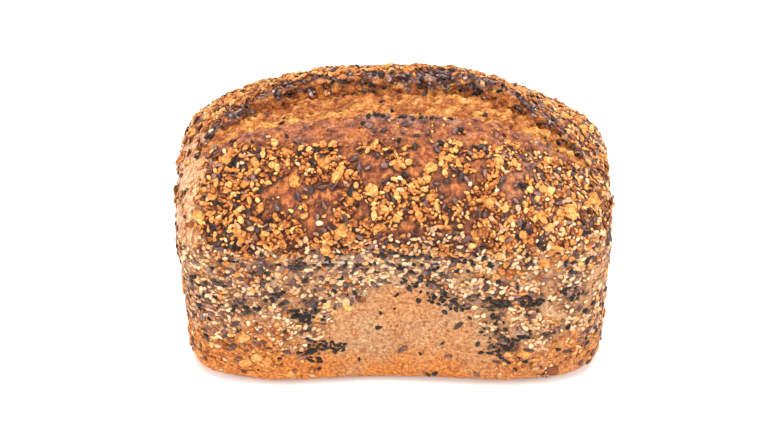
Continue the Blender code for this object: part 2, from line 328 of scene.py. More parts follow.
def wall_regions(points, blur, fine):
    """The walls that the tin held, the bare arch on the front one, its pale edge, and smeared flour."""
    x, y, z = points.T
    rim = RIM_HEIGHT - 0.001 + 0.0030 * noise_at(points, 0.022, 9.0) + 0.0020 * blur + 0.0010 * fine
    wall = 1.0 - smooth((z - rim + 0.004) / 0.009)
    arch_place = np.abs((x - ARCH_MIDDLE) / ARCH_HALF_WIDTH) ** 2.2 + (z / ARCH_TOP) ** 2.2
    arch_place = arch_place + 0.14 * blur + 0.07 * fine
    front_wall = smooth((-y - 0.030) / 0.010) * wall
    arch = front_wall * smooth((1.0 - arch_place) / 0.22)
    edge = front_wall * np.exp(-(((arch_place - 0.96) / 0.035) ** 2)) * smooth((z - 0.038) / 0.010)
    edge = edge * smooth((0.020 - x) / 0.020)
    under_rim = np.exp(-(((z - 0.070 - 0.003 * blur) / 0.006) ** 2))
    under_rim = under_rim * smooth(1.15 - np.abs(x + 0.010) / 0.050)
    flour = wall * np.maximum(under_rim * smooth(0.8 + 1.2 * blur), 0.5 * smooth(1.6 * blur - 0.2))
    return {
        "wall": wall,
        "arch": arch,
        "arch_edge": edge,
        "flour": flour,
    }


def foot_region(points, blur, fine):
    """The orange foot, which reaches higher near both ends and is weaker on the right."""
    x, _, z = points.T
    top = FOOT_HEIGHT + 0.012 * noise_at(points, 0.020, 2.0) + 0.006 * blur + 0.003 * fine
    top = top + 0.010 * smooth((np.abs(x) - 0.035) / 0.025)
    top = top + 0.006 * smooth((-x - 0.020) / 0.020)
    foot = 1.0 - smooth((z - top + 0.014) / 0.028)
    return foot * (1.0 - 0.35 * smooth((x - 0.030) / 0.040))


def end_region(points, blur, fine):
    """The streaked patch on the left end, almost free of seeds, with a trace on the right end."""
    x, y, z = points.T
    ragged = 0.006 * blur + 0.004 * fine
    ends = smooth((-x - 0.079 - ragged) / 0.006) + 0.25 * smooth((x - 0.084) / 0.006)
    back = smooth((0.018 - y + 2.0 * ragged) / 0.012)
    top = 1.0 - smooth((z - 0.102 + ragged) / 0.006)
    foot = 0.071 - 0.30 * (y + 0.045) + ragged
    return ends * back * top * smooth((z - foot) / 0.006)


def regions(points):
    """How far each kind of crust covers each point, from 0 to 1."""
    blur = noise_at(points, 0.009, 3.0)
    fine = noise_at(points, 0.0035, 5.0)
    return {
        **split_regions(points, blur, fine),
        **wall_regions(points, blur, fine),
        "foot": foot_region(points, blur, fine),
        "end": end_region(points, blur, fine),
        "dusty": smooth((points[:, 0] - 0.025) / 0.050),
    }


def normals_of(points, faces):
    """Unit normals at the points, from the faces round them."""
    corners = points[faces]
    across = np.cross(corners[:, 2] - corners[:, 0], corners[:, 3] - corners[:, 1])
    normals = np.zeros_like(points)
    for corner in range(4):
        np.add.at(normals, faces[:, corner], across)
    length = np.linalg.norm(normals, axis=1, keepdims=True)
    return normals / np.maximum(length, 1e-12)


def cube_grid(counts):
    """Points of a cube from -1 to 1, the quads of its top and sides, and the ring of its base."""

    def quads(first, second, fixed, value):
        a, b = np.meshgrid(np.arange(counts[first]), np.arange(counts[second]), indexing="ij")
        corners = []
        for step_a, step_b in ((0, 0), (1, 0), (1, 1), (0, 1)):
            place = np.zeros((a.size, 3), dtype=int)
            place[:, first] = a.ravel() + step_a
            place[:, second] = b.ravel() + step_b
            place[:, fixed] = value
            corners.append(place)
        return np.stack(corners, axis=1)

    sheets = [
        quads(0, 1, 2, counts[2]),
        quads(0, 2, 1, 0),
        quads(2, 0, 1, counts[1]),
        quads(2, 1, 0, 0),
        quads(1, 2, 0, counts[0]),
    ]
    corners = np.concatenate(sheets).reshape(-1, 3)
    places, numbers = np.unique(corners, axis=0, return_inverse=True)
    faces = numbers.reshape(-1, 4)
    nx, ny, _ = counts
    ring = [(i, 0, 0) for i in range(nx)] + [(nx, j, 0) for j in range(ny)]
    ring += [(i, ny, 0) for i in range(nx, 0, -1)] + [(0, j, 0) for j in range(ny, 0, -1)]
    number_of = {tuple(place): number for number, place in enumerate(places.tolist())}
    base = [number_of[place] for place in reversed(ring)]
    return places / np.array(counts) * 2.0 - 1.0, faces, base


def fine_relief(points, parts):
    """How far each point of the crust stands out, by the kind of crust it is on."""
    size, height = RELIEF["wrinkle"]
    out = height * noise_at(points, size, 1.0)
    size, height = RELIEF["pimple"]
    out = out + height * noise_at(points, size, 4.0) * (1.0 - 0.3 * parts["arch"])
    size, height = RELIEF["grain bed"]
    out = out + height * noise_at(points, size, 7.0) * (0.6 + parts["arch"])
    size, height = RELIEF["torn fibre"]
    along = (2.0, 0.9, 1.0)
    fibre = noise_at(points, size, 2.0, along) + 0.7 * noise_at(points, size / 2.1, 6.0, along)
    fibre = fibre + 0.5 * noise_at(points, size / 3.6, 9.0)
    out = out + height * fibre * (parts["crumb"] + 0.35 * parts["band"])
    size, height = RELIEF["tin crease"]
    creases = noise_at(points, size, 11.0, (2.6, 2.6, 0.6))
    out = out + height * creases * parts["wall"] * (1.0 - parts["arch"])
    size, height = RELIEF["crumb pore"]
    torn = np.clip(parts["crumb"] + 0.3 * parts["band"], 0.0, 1.0)
    parts["pore"] = smooth(1.0 - cells_at(points, size) / 0.48) * torn
    out = out - height * parts["pore"]
    size, height = RELIEF["burnt crumbs"]
    out = out + height * (parts["ear"] + 0.5 * parts["ridge"]) * noise_at(points, size, 8.0)
    out = out + 0.0007 * parts["ridge"] + ARCH_EDGE_HEIGHT * parts["arch_edge"]
    return out * smooth(points[:, 2] / 0.004)


def store(mesh, name, values):
    """Stores a number for each point of a mesh, for its material."""
    layer = mesh.attributes.new(name, "FLOAT", "POINT")
    layer.data.foreach_set("value", np.asarray(values, dtype=np.float32))


def make_crust():
    """The crust, and its points, normals and regions for what lies on it."""
    grid, faces, base = cube_grid(GRID)
    points = uneven(plain_form(grid))
    parts = regions(points)
    normals = normals_of(points, faces)
    points = points + normals * fine_relief(points, parts)[:, None]
    mesh = bpy.data.meshes.new("rye_crust")
    mesh.from_pydata(points.tolist(), [], faces.tolist() + [base])
    mesh.polygons.foreach_set("use_smooth", [True] * len(mesh.polygons))
    for name, values in parts.items():
        store(mesh, name, values)
    crust = bpy.data.objects.new("rye_crust", mesh)
    bpy.context.collection.objects.link(crust)
    return crust, points, faces, normals_of(points, faces)


class Recipe:
    """One material, with short ways to add its nodes."""

    def __init__(self, name, roughness, shine=0.3):
        self.material = bpy.data.materials.new(name)
        self.material.use_nodes = True
        self.tree = self.material.node_tree
        self.shader = self.tree.nodes["Principled BSDF"]
        self.shader.inputs["Roughness"].default_value = roughness
        self.shader.inputs["Specular IOR Level"].default_value = shine
        self.place = self.add("ShaderNodeTexCoord").outputs["Object"]

    def add(self, kind, **inputs):
        """A node, with values or sockets for its inputs."""
        node = self.tree.nodes.new(kind)
        for name, value in inputs.items():
            self.feed(node.inputs[name.replace("_", " ")], value)
        return node

    def feed(self, socket, value):
        """Gives a socket a value, or links it to another socket."""
        if isinstance(value, bpy.types.NodeSocket):
            self.tree.links.new(value, socket)
        else:
            socket.default_value = value

    def noise(self, size, detail=3.0, roughness=0.6, stretch=None):
        """Noise with features of a size in metres."""
        place = self.place
        if stretch:
            mapping = self.add("ShaderNodeMapping", Vector=place, Scale=stretch)
            place = mapping.outputs["Vector"]
        values = {"Scale": 1.0 / size, "Detail": detail, "Roughness": roughness}
        return self.add("ShaderNodeTexNoise", Vector=place, **values).outputs["Fac"]

    def cells(self, size):
        """Distance to the nearest point of a random cloud, with cells of a size in metres."""
        node = self.add("ShaderNodeTexVoronoi", Vector=self.place, Scale=1.0 / size)
        return node.outputs["Distance"]

    def attribute(self, name):
        """A number stored on the mesh's points."""
        node = self.add("ShaderNodeAttribute")
        node.attribute_name = name
        return node.outputs["Fac"]

    def ramp(self, factor, *stops):
        """Colours that change with a factor: pairs of place and colour."""
        node = self.add("ShaderNodeValToRGB", Fac=factor)
        marks = node.color_ramp.elements
        while len(marks) < len(stops):
            marks.new(0.5)
        for mark, (place, colour) in zip(marks, stops):
            mark.position = place
            mark.color = (*colour, 1.0)
        return node.outputs["Color"]

    def sharpen(self, factor, low, high):
        """A factor's range stretched to run from 0 to 1."""
        node = self.add("ShaderNodeMapRange", Value=factor, From_Min=low, From_Max=high)
        node.interpolation_type = "SMOOTHSTEP"
        return node.outputs["Result"]

    def mix(self, factor, first, second, blend="MIX"):
        """Two colours mixed."""
        node = self.tree.nodes.new("ShaderNodeMix")
        node.data_type = "RGBA"
        node.blend_type = blend
        colours = [s for s in node.inputs if s.type == "RGBA"]
        self.feed(node.inputs["Factor"], factor)
        self.feed(colours[0], first)
        self.feed(colours[1], second)
        return [s for s in node.outputs if s.type == "RGBA"][0]

    def math(self, operation, first, second):
        """Two numbers combined."""
        node = self.tree.nodes.new("ShaderNodeMath")
        node.operation = operation
        self.feed(node.inputs[0], first)
        self.feed(node.inputs[1], second)
        return node.outputs["Value"]

    def scaled(self, factor, share):
        """A factor made weaker."""
        return self.math("MULTIPLY", factor, share)

    def bump(self, height, depth, normal=None):
        """A bump of a depth in metres."""
        node = self.add("ShaderNodeBump", Height=height, Distance=depth, Strength=1.0)
        if normal is not None:
            self.feed(node.inputs["Normal"], normal)
        return node.outputs["Normal"]

    def finish(self, colour, normal=None, roughness=None):
        """Links the results to the shader."""
        self.feed(self.shader.inputs["Base Color"], colour)
        if normal is not None:
            self.feed(self.shader.inputs["Normal"], normal)
        if roughness is not None:
            self.feed(self.shader.inputs["Roughness"], roughness)
        return self.material


def near_seeds(points, chosen):
    """How close to a seed each point of the crust lies, 1 at its edge and 0 well away: the mask for the
    painted shade round the seeds, and for rougher crust there.
    """
    spots = []
    for kind, held in chosen.items():
        length, width, _ = SEED_KINDS[kind][0]
        spots += [(place, (length + width) / 4.0) for place, _ in held]
    tree = kdtree.KDTree(len(spots))
    for number, (place, _) in enumerate(spots):
        tree.insert(place, number)
    tree.balance()
    gaps = []
    for point in points.tolist():
        _, number, far = tree.find(point)
        gaps.append(far - spots[number][1])
    return 1.0 - smooth(np.array(gaps) / PAINTED_SHADE_REACH)


# Colours of the crust from dark to light, each with its place on a noise
CRUST_COLOURS = {
    "dome": ((0.36, (0.10, 0.017, 0.005)), (0.49, (0.38, 0.086, 0.016)), (0.62, (0.74, 0.25, 0.060))),
    "wall": ((0.32, (0.20, 0.066, 0.021)), (0.50, (0.47, 0.205, 0.078)), (0.68, (0.66, 0.37, 0.175))),
    "grit": ((0.34, (0.13, 0.042, 0.016)), (0.47, (0.50, 0.215, 0.085)), (0.62, (0.78, 0.47, 0.24))),
    "arch": (
        (0.33, (0.15, 0.048, 0.017)),
        (0.43, (0.43, 0.190, 0.077)),
        (0.55, (0.62, 0.340, 0.158)),
        (0.68, (0.80, 0.54, 0.31)),
    ),
    "foot": (
        (0.33, (0.17, 0.030, 0.005)),
        (0.45, (0.53, 0.140, 0.019)),
        (0.56, (0.74, 0.260, 0.046)),
        (0.68, (0.90, 0.46, 0.13)),
    ),
    "streaks": ((0.37, (0.34, 0.100, 0.028)), (0.49, (0.72, 0.330, 0.130)), (0.63, (0.94, 0.66, 0.39))),
    "band": (
        (0.36, (0.034, 0.008, 0.005)),
        (0.45, (0.21, 0.052, 0.020)),
        (0.54, (0.46, 0.140, 0.052)),
        (0.66, (0.74, 0.37, 0.18)),
    ),
    "orange": ((0.36, (0.24, 0.045, 0.008)), (0.50, (0.58, 0.160, 0.028)), (0.64, (0.84, 0.38, 0.12))),
    "gold": (
        (0.36, (0.22, 0.044, 0.008)),
        (0.44, (0.70, 0.225, 0.034)),
        (0.53, (0.91, 0.405, 0.083)),
        (0.65, (0.95, 0.66, 0.27)),
    ),
    "brown": (
        (0.36, (0.060, 0.012, 0.005)),
        (0.45, (0.38, 0.092, 0.018)),
        (0.54, (0.68, 0.215, 0.042)),
        (0.66, (0.86, 0.45, 0.14)),
    ),
    "ear": ((0.36, (0.026, 0.012, 0.012)), (0.47, (0.185, 0.096, 0.090)), (0.60, (0.55, 0.39, 0.34))),
    "mottle": ((0.32, (0.62, 0.57, 0.52)), (0.62, (1.0, 1.0, 1.0))),
}
AMBER = (0.40, 0.120, 0.030, 1.0)
DUST = (0.54, 0.31, 0.225, 1.0)
FLOUR = (0.76, 0.60, 0.44, 1.0)
ARCH_EDGE_COLOUR = (0.88, 0.70, 0.48, 1.0)
# Colour of the painted shade round the seeds on the dome
PAINTED_SHADE_ON_DOME = (0.052, 0.016, 0.010, 1.0)
# Colour of the painted shade round the seeds on the wall
PAINTED_SHADE_ON_WALL = (0.085, 0.030, 0.014, 1.0)
# Colours of the painted shade in the crumb's pores and holes
PORE_SHADE_COLOUR = (0.12, 0.026, 0.007, 1.0)
HOLE_SHADE_COLOUR = (0.13, 0.028, 0.006, 1.0)

# Roughness of the crust: of its glossy dome, its matt wall, near its seeds and in its crumb
GLOSSY = ((0.3, (0.22, 0.22, 0.22)), (0.7, (0.46, 0.46, 0.46)))
MATT = ((0.3, (0.62, 0.62, 0.62)), (0.7, (0.85, 0.85, 0.85)))
ROUGH_NEAR_SEEDS = (0.60, 0.60, 0.60, 1.0)
ROUGH_CRUMB = (0.55, 0.55, 0.55, 1.0)


def crust_noises(r):
    """The noises that the crust's colours and bumps share, from broad to fine."""
    return {
        "broad": r.noise(0.030, 2.0),
        "patch": r.noise(0.009, 4.0),
        "fine": r.noise(0.0016, 5.0, 0.75),
        "speck": r.noise(0.0007, 2.0, 0.6),
        "fibre": r.noise(0.0026, 6.0, 0.82, (0.55, 1.0, 1.0)),
        "rising": r.noise(0.0022, 4.0, 0.7, (1.0, 1.0, 0.28)),
        "upright": r.noise(0.0015, 3.0, 0.65, (1.0, 1.0, 0.16)),
        "level": r.noise(0.0016, 4.0, 0.7, (0.28, 1.0, 1.0)),
        "holes": r.cells(0.0024),
    }


def dome_colour(r, noises):
    """Brown dome, dusty on the right shoulder, with painted shade close to its seeds."""
    dome = r.ramp(noises["rising"], *CRUST_COLOURS["dome"])
    dome = r.mix(r.scaled(r.sharpen(noises["broad"], 0.35, 0.65), 0.25), dome, AMBER)
    dusty = r.math("MULTIPLY", r.attribute("dusty"), r.sharpen(noises["fibre"], 0.40, 0.58))
    dome = r.mix(r.scaled(dusty, 0.75), dome, DUST)
    # Painted shade round the seeds, weaker where the crust is dusty
    painted_shade = r.math("SUBTRACT", r.scaled(r.attribute("near_seed"), 0.85), r.scaled(dusty, 0.45))
    return r.mix(painted_shade, dome, PAINTED_SHADE_ON_DOME)


def wall_colour(r, noises):
    """Tan and gritty wall, with painted shade close to some of its seeds."""
    wall = r.ramp(noises["patch"], *CRUST_COLOURS["wall"])
    wall = r.mix(0.55, wall, r.ramp(noises["fine"], *CRUST_COLOURS["grit"]))
    # Painted shade round the seeds, in patches
    painted_shade = r.math("MULTIPLY", r.attribute("near_seed"), r.sharpen(noises["patch"], 0.66, 0.42))
    return r.mix(r.scaled(painted_shade, 0.80), wall, PAINTED_SHADE_ON_WALL)


def arch_colour(r, noises, foot):
    """Pale bare arch, toasted in patches to the colour of the foot."""
    arch = r.ramp(noises["fine"], *CRUST_COLOURS["arch"])
    arch = r.mix(r.scaled(r.sharpen(noises["broad"], 0.40, 0.66), 0.45), arch, foot)
    return r.mix(r.scaled(r.sharpen(noises["patch"], 0.54, 0.62), 0.40), arch, foot)


def band_colour(r, noises):
    """Stretched brown skin before the split, orange in patches."""
    band = r.ramp(noises["fibre"], *CRUST_COLOURS["band"])
    orange = r.ramp(noises["fine"], *CRUST_COLOURS["orange"])
    return r.mix(r.scaled(r.sharpen(noises["patch"], 0.52, 0.60), 0.75), band, orange)


def crumb_colour(r, noises):
    """Torn crumb: golden where it is bright, brown elsewhere (towards the back lip partly painted shade),
    with painted shade in its pores and holes.
    """
    brown = r.ramp(noises["fibre"], *CRUST_COLOURS["brown"])
    gold = r.ramp(noises["fibre"], *CRUST_COLOURS["gold"])
    crumb = r.mix(r.attribute("bright"), brown, gold)
    # Painted shade in the pores and in the holes
    crumb = r.mix(r.scaled(r.attribute("pore"), 0.62), crumb, PORE_SHADE_COLOUR)
    return r.mix(r.scaled(r.sharpen(noises["holes"], 0.34, 0.10), 0.5), crumb, HOLE_SHADE_COLOUR)


def crust_colour(r, noises):
    """The colour of each kind of crust, laid over the ones before it where it covers the loaf."""
    foot = r.ramp(noises["fine"], *CRUST_COLOURS["foot"])
    ear = r.ramp(noises["fine"], *CRUST_COLOURS["ear"])
    streaks = r.ramp(noises["upright"], *CRUST_COLOURS["streaks"])
    streaked = r.math("MULTIPLY", r.attribute("end"), r.sharpen(noises["patch"], 0.30, 0.48))
    smeared = r.math("MULTIPLY", r.attribute("flour"), r.sharpen(noises["level"], 0.40, 0.58))
    above_foot = r.math("SUBTRACT", 1.0, r.attribute("foot"))
    covers = (
        (r.attribute("wall"), wall_colour(r, noises)),
        (streaked, streaks),
        (r.scaled(smeared, 0.9), FLOUR),
        (r.attribute("foot"), foot),
        (r.math("MULTIPLY", r.attribute("arch"), above_foot), arch_colour(r, noises, foot)),
        (r.scaled(r.attribute("arch_edge"), 0.55), ARCH_EDGE_COLOUR),
        (r.attribute("band"), band_colour(r, noises)),
        (r.attribute("crumb"), crumb_colour(r, noises)),
        # Scorched colour on the ridge, partly a painted shadow line along it
        (r.scaled(r.attribute("ridge"), 0.75), ear),
        (r.attribute("ear"), ear),
    )
    colour = dome_colour(r, noises)
    for cover, over in covers:
        colour = r.mix(cover, colour, over)
    mottle = r.ramp(noises["speck"], *CRUST_COLOURS["mottle"])
    return r.mix(0.7, colour, mottle, "MULTIPLY")


def crust_roughness(r, noises):
    """Glossy dome, matt wall, and between the two near the seeds and in the crumb."""
    glossy = r.ramp(noises["fine"], *GLOSSY)
    matt = r.ramp(noises["fine"], *MATT)
    glossy = r.mix(r.attribute("near_seed"), glossy, ROUGH_NEAR_SEEDS)
    rough = r.mix(r.attribute("wall"), glossy, matt)
    return r.mix(r.attribute("crumb"), rough, ROUGH_CRUMB)


def crust_bumps(r, noises):
    """Grain all over, wrinkles on the dome and holes in the crumb."""
    off_wall = r.sharpen(r.attribute("wall"), 1.0, 0.0)
    normal = r.bump(noises["fine"], 0.0011)
    normal = r.bump(noises["speck"], 0.0005, normal)
    normal = r.bump(r.math("MULTIPLY", noises["rising"], off_wall), 0.0014, normal)
    return r.bump(r.math("MULTIPLY", noises["holes"], r.attribute("crumb")), 0.0009, normal)


def crust_material():
    """Baked crust: brown dome, tan wall with its bare arch, orange foot, golden torn crumb."""
    r = Recipe("rye_crust", 0.5, 0.35)
    noises = crust_noises(r)
    return r.finish(crust_colour(r, noises), crust_bumps(r, noises), crust_roughness(r, noises))


# Dark colour of a seed's lower rim: partly toasting where it meets the crust, partly painted shade
SKIRT_SHADE_COLOUR = (0.045, 0.012, 0.005, 1.0)


def seed_material(name, stops, roughness, shine, wrinkle):
    """Seeds of one kind: a tone for each seed, mottled, and darkened where it sits in the crust, partly
    toasted there and partly painted shade.
    """
    r = Recipe(name, roughness, shine)
    mottle = r.noise(0.0012, 4.0, 0.7)
    crumple = r.noise(0.0021, 2.0, 0.5)
    spread = r.scaled(r.math("SUBTRACT", mottle, 0.5), 1.8)
    tone = r.math("ADD", r.attribute("tone"), spread)
    colour = r.ramp(tone, *stops)
    colour = r.mix(r.scaled(r.attribute("skirt"), 0.80), colour, SKIRT_SHADE_COLOUR)
    normal = r.bump(crumple, wrinkle * 2.2)
    return r.finish(colour, r.bump(mottle, wrinkle, normal))


# Seeds: their length, width and thickness, and their shape
SEED_KINDS = {
    "oat_flakes": ((0.0051, 0.0039, 0.0012), "flake"),
    "cracked_grain": ((0.0037, 0.0027, 0.0017), "chip"),
    "linseed": ((0.0043, 0.0024, 0.0011), "drop"),
    "toasted_sesame": ((0.0031, 0.0020, 0.0011), "drop"),
    "pale_sesame": ((0.0030, 0.0023, 0.0010), "drop"),
    "black_sesame": ((0.0028, 0.0020, 0.0012), "drop"),
    "grain_crumbs": ((0.0018, 0.0014, 0.0012), "bit"),
    "pale_crumbs": ((0.0018, 0.0015, 0.0009), "bit"),
    "burnt_crumbs": ((0.0022, 0.0017, 0.0015), "bit"),
}
SEED_TRIES = 260000  # places drawn, of which most are bare or too near another seed
CRUMB_TRIES = 60000
VARIANTS = 10  # shapes of each kind
DROP_SEGMENTS = 8
DROP_RINGS = 4
CHIP_CUTS = 7
PAINTED_SHADE_REACH = 0.0010  # painted shade darkens the crust this far round a seed
SPACING = 0.62  # least distance between two seeds, as a share of their reaches together
RAISE_DOME = 0.40  # how far a seed's middle stands over the crust, as a share of its thickness
RAISE_WALL = 0.10  # less where the tin pressed it in
TILT_DOME = 0.28  # how far a seed's axis strays from upright
TILT_WALL = 0.10
LYING_SHARE = 0.25  # share of the seeds on the wall that the tin laid level
LOWEST_SEED = 0.0045  # height below which the foot is bare
SEED_TONE = 0.53
SEED_TONE_SPREAD = 0.22


def drop_shape(draw):
    """A seed of unit size: an egg drawn to a point at one end."""
    shape = bmesh.new()
    bmesh.ops.create_uvsphere(shape, u_segments=DROP_SEGMENTS, v_segments=DROP_RINGS, radius=0.5)
    for vertex in shape.verts:
        x, y, z = vertex.co.z, vertex.co.x, vertex.co.y
        narrow = 1.0 - 0.55 * smooth(x + 0.35)
        vertex.co = (x, y * narrow, z * (0.6 + 0.4 * narrow))
        vertex.co *= 1.0 + draw.uniform(-0.06, 0.06)
    return shape


def chip_shape(draw):
    """A broken grain of unit size: a ball cut flat by a few random planes."""
    shape = bmesh.new()
    bmesh.ops.create_icosphere(shape, subdivisions=2, radius=0.5)
    cuts = [(Vector(draw.normal(size=3)).normalized(), draw.uniform(0.26, 0.42)) for _ in range(CHIP_CUTS)]
    for vertex in shape.verts:
        for way, far in cuts:
            over = vertex.co.dot(way) - far
            if over > 0.0:
                vertex.co -= way * over * 0.9
        vertex.co *= 1.0 + draw.uniform(-0.07, 0.07)
    return shape


def flake_shape(draw):
    """A crushed flake of unit size: a thin, bent, crumpled and ragged oval."""
    shape = bmesh.new()
    bmesh.ops.create_icosphere(shape, subdivisions=2, radius=0.5)
    bend = draw.uniform(-0.8, 0.8)
    twist = draw.uniform(-1.0, 1.0)
    phase = draw.uniform(0.0, 6.28)
    for vertex in shape.verts:
        x, y, z = vertex.co
        ragged = 1.0 + 0.12 * math.sin(3.0 * math.atan2(y, x) + phase) + draw.uniform(-0.09, 0.09)
        lift = bend * x * x * 2.0 + twist * x * y * 2.0 + draw.uniform(-0.20, 0.20)
        vertex.co = (x * ragged, y * ragged, z + lift)
    return shape


def bit_shape(draw):
    """A crumb of unit size: a small uneven ball."""
    shape = bmesh.new()
    bmesh.ops.create_icosphere(shape, subdivisions=1, radius=0.5)
    for vertex in shape.verts:
        vertex.co *= 1.0 + draw.uniform(-0.28, 0.22)
    return shape


SHAPES = {"drop": drop_shape, "chip": chip_shape, "flake": flake_shape, "bit": bit_shape}


def shape_arrays(shape):
    """A shape's points and triangles as arrays, the triangles in an order that is the same each run."""
    bmesh.ops.triangulate(shape, faces=shape.faces[:])
    bmesh.ops.recalc_face_normals(shape, faces=shape.faces[:])
    shape.verts.index_update()
    points = np.array([v.co for v in shape.verts])
    faces = [[v.index for v in f.verts] for f in shape.faces]
    shape.free()
    lowest = [face.index(min(face)) for face in faces]
    return points, np.array(sorted(face[k:] + face[:k] for face, k in zip(faces, lowest)))


def sample(points, faces, normals, count, draw):
    """Random places on the crust, even over its area, with the normals there."""
    corners = points[faces]
    across = np.cross(corners[:, 2] - corners[:, 0], corners[:, 3] - corners[:, 1])
    area = np.linalg.norm(across, axis=1)
    chosen = draw.choice(len(faces), size=count, p=area / area.sum())
    a, b = draw.random(count)[:, None], draw.random(count)[:, None]
    weights = ((1 - a) * (1 - b), a * (1 - b), a * b, (1 - a) * b)
    places = sum(w * points[faces[chosen, k]] for k, w in enumerate(weights))
    ups = sum(w * normals[faces[chosen, k]] for k, w in enumerate(weights))
    return places, ups / np.linalg.norm(ups, axis=1, keepdims=True)


def seed_zones(places, ups):
    """Where the seeds stick: how far each zone of the crust takes them, from 0 to 1."""
    x, y, z = places.T
    parts = regions(places)
    wall, foot, arch = parts["wall"], parts["foot"], parts["arch"]
    torn = np.clip(parts["crumb"] + parts["band"], 0.0, 1.0)
    seeded = (ups[:, 2] > -0.75) * (z > LOWEST_SEED)
    open_crust = (1.0 - torn) ** 3 * seeded * (1.0 - 0.88 * parts["end"]) ** 2
    dome = open_crust * (1.0 - wall) * (1.0 - 0.9 * parts["ear"])
    side = open_crust * wall * (1.0 - 0.9 * foot) ** 2 * (1.0 - arch) ** 3
    near_rim = z + 0.006 * noise_at(places, 0.016, 55.0)
    calm = 1.0 - 0.85 * smooth(1.6 - np.abs(x - 0.002) / 0.028) * smooth(-y / 0.040)
    rim_top = side * calm * smooth((near_rim - 0.058) / 0.018)
    side = side * (1.0 - 0.6 * smooth((0.030 - z) / 0.012))
    middle = smooth(1.0 - np.abs(x) / 0.075)
    bare = noise_at(places, 0.013, 12.0) + 0.45 * noise_at(places, 0.005, 3.0)
    bare = bare - 1.3 * patches(places, BARE_PATCHES)
    bald = noise_at(places, 0.012, 40.0) + 0.45 * noise_at(places, 0.004, 8.0)
    bald = bald - 0.40 * smooth((x - 0.03) / 0.03) * smooth(-y / 0.04)
    clump = smooth((noise_at(places, 0.010, 20.0) - 0.05) / 0.28)
    on_front = smooth((-y - 0.030) / 0.010) * wall
    own = on_front * patches(places, BLACK_CLUSTERS)
    return {
        "dome": dome,
        "patchy": dome * (0.012 + smooth((bare + 0.54 - 0.28 * middle) / 0.28)),
        "side": side * (0.04 + smooth((bald + 0.45) / 0.38)),
        "rim_top": rim_top,
        "rim_dome": dome * (1.0 - smooth((near_rim - 0.076) / 0.014)),
        "low": open_crust * foot * (1.0 - arch) * smooth((z - 0.005) / 0.006),
        "arch": arch * seeded,
        "band": parts["band"] * (1.0 - parts["crumb"]),
        "torn": torn,
        "ear": parts["ear"] * seeded,
        "ridge": parts["ridge"] * seeded,
        "burnt": parts["burnt"] * seeded,
        "cluster": own * seeded,
        "clump": np.maximum(clump * (1.0 - 0.75 * on_front), own),
        "swirl": smooth((noise_at(places, 0.018, 31.0) + 0.30) / 0.60),
        "right": smooth((x - 0.02) / 0.05),
    }


def seed_chance(places, ups):
    """The chance of each kind of seed at each place."""
    zones = seed_zones(places, ups)
    dome, patchy, side, low = (zones[name] for name in ("dome", "patchy", "side", "low"))
    clump, swirl, right = (zones[name] for name in ("clump", "swirl", "right"))
    rim_top, rim_dome = zones["rim_top"], zones["rim_dome"]
    arch, band, torn = zones["arch"], zones["band"], zones["torn"]
    return {
        "oat_flakes": 0.060 * patchy + 0.002 * side + 0.015 * rim_top + 0.005 * low,
        "cracked_grain": 0.27 * patchy + 0.04 * side + 0.05 * rim_top + 0.014 * low,
        "linseed": (0.015 + 0.03 * swirl + 0.08 * right) * patchy
        + 0.015 * dome * swirl
        + (0.06 + 0.12 * swirl) * side
        + 0.004 * low
        + 0.003 * band
        + 0.0008 * arch,
        "toasted_sesame": 0.18 * patchy + 0.04 * side + 0.001 * low,
        "pale_sesame": (0.02 + 0.14 * right) * patchy
        + 0.12 * rim_dome
        + (0.34 + 0.10 * swirl) * side
        + 0.001 * low,
        "black_sesame": (0.012 + 0.13 * clump) * patchy
        + 0.34 * zones["cluster"]
        + (0.03 + 0.30 * clump) * side
        + 0.002 * low
        + 0.0012 * arch
        + 0.001 * torn
        + 0.012 * zones["burnt"]
        + 0.03 * zones["ridge"],
        "grain_crumbs": patchy + 0.12 * side + 0.2 * rim_top + 0.07 * low + 0.04 * band,
        "pale_crumbs": 0.8 * side + 0.25 * rim_dome + 0.30 * right * patchy + 0.01 * low,
        "burnt_crumbs": 1.2 * zones["ear"] + 0.20 * zones["ridge"],
    }


class Spread:
    """Places already taken, in cubes of space, so that seeds keep apart."""

    CUBE = 0.004

    def __init__(self):
        self.cubes = {}

    def take(self, place, reach):
        """Takes a place if no seed is too near."""
        home = [math.floor(c / self.CUBE) for c in place]
        for i in (-1, 0, 1):
            for j in (-1, 0, 1):
                for k in (-1, 0, 1):
                    for other, far in self.cubes.get((home[0] + i, home[1] + j, home[2] + k), ()):
                        gap = sum((a - b) ** 2 for a, b in zip(place, other))
                        if gap < (SPACING * (reach + far)) ** 2:
                            return False
        self.cubes.setdefault(tuple(home), []).append((place, reach))
        return True


def choose_seeds(points, faces, normals, draw):
    """Places for every kind of seed: mixed by chance, kept apart by their sizes, then the crumbs."""
    spread = Spread()
    chosen = {kind: [] for kind in SEED_KINDS}
    crumbs = [kind for kind in SEED_KINDS if SEED_KINDS[kind][1] == "bit"]
    whole = [kind for kind in SEED_KINDS if kind not in crumbs]
    for kinds, tries in ((whole, SEED_TRIES), (crumbs, CRUMB_TRIES)):
        places, ups = sample(points, faces, normals, tries, draw)
        chances = seed_chance(places, ups)
        levels = np.cumsum([chances[kind] for kind in kinds], axis=0)
        numbers = (draw.random(tries) > levels).sum(axis=0)
        for place, up, number in zip(places.tolist(), ups, numbers):
            if number < len(kinds):
                length, width, _ = SEED_KINDS[kinds[number]][0]
                if spread.take(place, (length + width) / 4.0):
                    chosen[kinds[number]].append((place, up))
    return chosen


